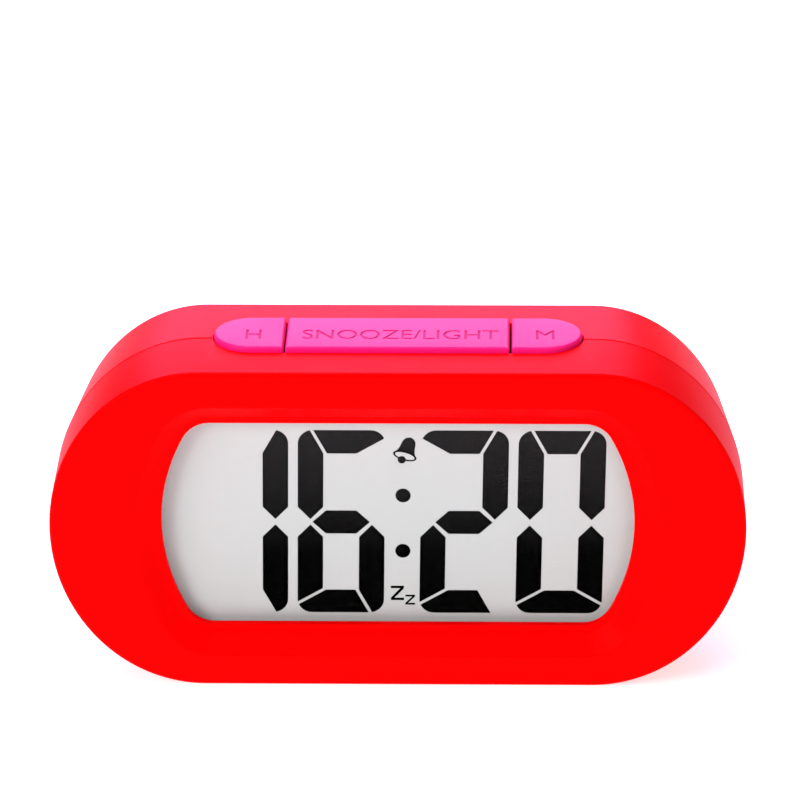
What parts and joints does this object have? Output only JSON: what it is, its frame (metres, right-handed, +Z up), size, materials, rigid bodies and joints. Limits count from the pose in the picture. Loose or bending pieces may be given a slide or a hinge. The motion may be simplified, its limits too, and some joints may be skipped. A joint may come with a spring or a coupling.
{
  "type": "digital alarm clock",
  "caption": "Long round-ended digital alarm clock with a dished display window, push keys in a strip on top, slide switches and a battery door at the back.",
  "frame": {"origin": "middle of the flat base that the clock stands on", "axes": "+Z up, +X to the right of someone facing the display, +Y to the back"},
  "size_m": [0.1594, 0.044, 0.08],
  "materials": {
    "red_soft_touch": "soft-touch coated ABS, matte",
    "pink_key": "soft-touch moulded key, matte",
    "clear_acrylic": "clear polished acrylic",
    "display_glass": "liquid-crystal glass with grey reflective ground",
    "white_abs": "white moulded ABS",
    "white_film": "white polyester film",
    "circuit_board": "green solder mask on fibreglass board",
    "black_plastic": "black moulded plastic or epoxy",
    "steel": "zinc-plated steel",
    "nickel": "nickel-plated steel",
    "brass": "plain brass disc",
    "ceramic": "silvered piezo ceramic",
    "rubber_grey": "conductive elastomer strip",
    "cell_sleeve": "metallised printed sleeve, no mark",
    "lead_red": "red PVC insulation",
    "lead_black": "black PVC insulation",
    "ribbon_grey": "grey PVC flat cable"
  },
  "bodies": {
    "case": {"alarm_switch_body": "steel", "backlight_led_left": "white_abs", "backlight_led_right": "white_abs", "battery_1": "cell_sleeve", "battery_2": "cell_sleeve", "battery_3": "cell_sleeve", "battery_lead_black": "lead_black", "battery_lead_red": "lead_red", "buzzer_ceramic": "ceramic", "buzzer_disc": "brass", "buzzer_lead_black": "lead_black", "buzzer_lead_red": "lead_red", "capacitor": "black_plastic", "case_screw_1": "steel", "case_screw_2": "steel", "case_screw_3": "steel", "case_screw_4": "steel", "clock_chip": "black_plastic", "contact_bridge_left": "nickel", "contact_bridge_right": "nickel", "contact_negative": "nickel", "contact_positive": "nickel", "diffuser_sheet": "white_film", "display_frame": "white_abs", "display_screw_1": "steel", "display_screw_2": "steel", "display_screw_3": "steel", "display_screw_4": "steel", "front_shell": "red_soft_touch", "hour_switch_body": "steel", "key_board": "circuit_board", "key_ribbon": "ribbon_grey", "lcd_panel": "display_glass", "lens_window": "clear_acrylic", "light_guide": "clear_acrylic", "main_board": "circuit_board", "minute_switch_body": "steel", "mode_switch_body": "steel", "quartz_crystal": "nickel", "rear_shell": "red_soft_touch", "reflector_sheet": "white_film", "snooze_switch_body": "steel", "switch_board": "circuit_board", "switch_board_screw_1": "steel", "switch_board_screw_2": "steel", "switch_ribbon": "ribbon_grey", "zebra_connector": "rubber_grey"},
    "hour_key": {"hour_button": "pink_key", "hour_switch_plunger": "black_plastic"},
    "snooze_key": {"snooze_button": "pink_key", "snooze_switch_plunger": "black_plastic"},
    "minute_key": {"minute_button": "pink_key", "minute_switch_plunger": "black_plastic"},
    "alarm_slide": {"alarm_slider": "pink_key", "alarm_switch_lever": "black_plastic"},
    "mode_slide": {"mode_slider": "pink_key", "mode_switch_lever": "black_plastic"},
    "door": {"battery_door": "red_soft_touch"}
  },
  "joints": [
    {"name": "hour_press", "type": "slide", "parent": "case", "child": "hour_key", "axis": [0, 0, -1], "range_m": [0, 0.0005], "stiffness_N_per_m": 1500},
    {"name": "snooze_press", "type": "slide", "parent": "case", "child": "snooze_key", "axis": [0, 0, -1], "range_m": [0, 0.0005], "stiffness_N_per_m": 1500},
    {"name": "minute_press", "type": "slide", "parent": "case", "child": "minute_key", "axis": [0, 0, -1], "range_m": [0, 0.0005], "stiffness_N_per_m": 1500},
    {"name": "alarm_slide_move", "type": "slide", "parent": "case", "child": "alarm_slide", "axis": [1, 0, 0], "range_m": [0, 0.004]},
    {"name": "mode_slide_move", "type": "slide", "parent": "case", "child": "mode_slide", "axis": [1, 0, 0], "range_m": [-0.003, 0.003]},
    {"name": "door_tip", "type": "hinge", "parent": "case", "child": "door", "pos_m": [0, 0.02195, 0.01325], "axis": [-1, 0, 0], "range_deg": [0, 70]}
  ]
}
